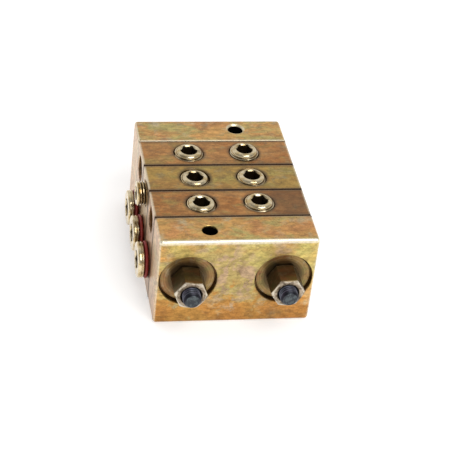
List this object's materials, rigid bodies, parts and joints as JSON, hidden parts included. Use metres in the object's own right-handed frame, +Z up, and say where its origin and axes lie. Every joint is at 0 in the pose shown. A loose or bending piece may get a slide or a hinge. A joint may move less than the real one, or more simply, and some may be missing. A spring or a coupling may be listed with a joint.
{
  "type": "lubrication divider block",
  "caption": "Progressive lubrication divider: metering sections with sliding spools between two end blocks, pulled together by studs, with plugged and open outlet ports.",
  "frame": {"origin": "centre of the stack's underside, halfway between the front face and the rear face", "axes": "+X to the right seen from the nuts, +Y from the nuts to the inlet end along the studs, +Z up towards the top plugs"},
  "size_m": [0.0793, 0.1105, 0.0466],
  "materials": {
    "yellow_zinc_block": "milled steel, yellow chromated zinc with an iridescent bloom",
    "green_zinc_section": "milled steel, yellow chromated zinc, greener",
    "brown_zinc_section": "milled steel, yellow chromated zinc, redder brown",
    "bright_plug_steel": "turned steel, pale zinc",
    "olive_nut_steel": "forged steel, worn zinc with a dark film",
    "tan_washer_zinc": "pressed steel, yellow chromated zinc",
    "dark_stud_steel": "blue-black oxide with an oil film",
    "ground_spool_steel": "hardened and ground",
    "red_seal": "dark red vulcanised fibre, matt",
    "black_rubber": "moulded nitrile rubber"
  },
  "bodies": {
    "block_stack": {"front_end_block": "yellow_zinc_block", "metering_section_1": "brown_zinc_section", "metering_section_2": "green_zinc_section", "metering_section_3": "brown_zinc_section", "rear_inlet_block": "yellow_zinc_block", "top_plug_left_1": "bright_plug_steel", "closure_plug_left_1": "bright_plug_steel", "seal_washer_left_1": "red_seal", "top_plug_right_1": "bright_plug_steel", "closure_plug_right_1": "bright_plug_steel", "seal_washer_right_1": "red_seal", "top_plug_left_2": "bright_plug_steel", "closure_plug_left_2": "bright_plug_steel", "seal_washer_left_2": "red_seal", "top_plug_right_2": "bright_plug_steel", "closure_plug_right_2": "bright_plug_steel", "seal_washer_right_2": "red_seal", "top_plug_left_3": "bright_plug_steel", "closure_plug_left_3": "bright_plug_steel", "seal_washer_left_3": "red_seal", "top_plug_right_3": "bright_plug_steel", "closure_plug_right_3": "bright_plug_steel", "seal_washer_right_3": "red_seal", "side_plug_left_2": "bright_plug_steel", "tie_stud_left": "dark_stud_steel", "flat_washer_left": "tan_washer_zinc", "long_nut_left": "olive_nut_steel", "tie_stud_right": "dark_stud_steel", "flat_washer_right": "tan_washer_zinc", "long_nut_right": "olive_nut_steel", "o_ring_gallery_joint_1": "black_rubber", "o_ring_signal_left_joint_1": "black_rubber", "o_ring_signal_right_joint_1": "black_rubber", "o_ring_gallery_joint_2": "black_rubber", "o_ring_signal_left_joint_2": "black_rubber", "o_ring_signal_right_joint_2": "black_rubber", "o_ring_gallery_joint_3": "black_rubber", "o_ring_signal_left_joint_3": "black_rubber", "o_ring_signal_right_joint_3": "black_rubber", "o_ring_gallery_joint_4": "black_rubber", "o_ring_signal_left_joint_4": "black_rubber", "o_ring_signal_right_joint_4": "black_rubber"},
    "spool_body_1": {"spool_1": "ground_spool_steel"},
    "spool_body_2": {"spool_2": "ground_spool_steel"},
    "spool_body_3": {"spool_3": "ground_spool_steel"}
  },
  "joints": [
    {"name": "spool_1_slide", "type": "slide", "parent": "block_stack", "child": "spool_body_1", "axis": [1, 0, 0], "range_m": [-0.008, 0]},
    {"name": "spool_2_slide", "type": "slide", "parent": "block_stack", "child": "spool_body_2", "axis": [1, 0, 0], "range_m": [0, 0.008]},
    {"name": "spool_3_slide", "type": "slide", "parent": "block_stack", "child": "spool_body_3", "axis": [1, 0, 0], "range_m": [-0.008, 0]}
  ]
}
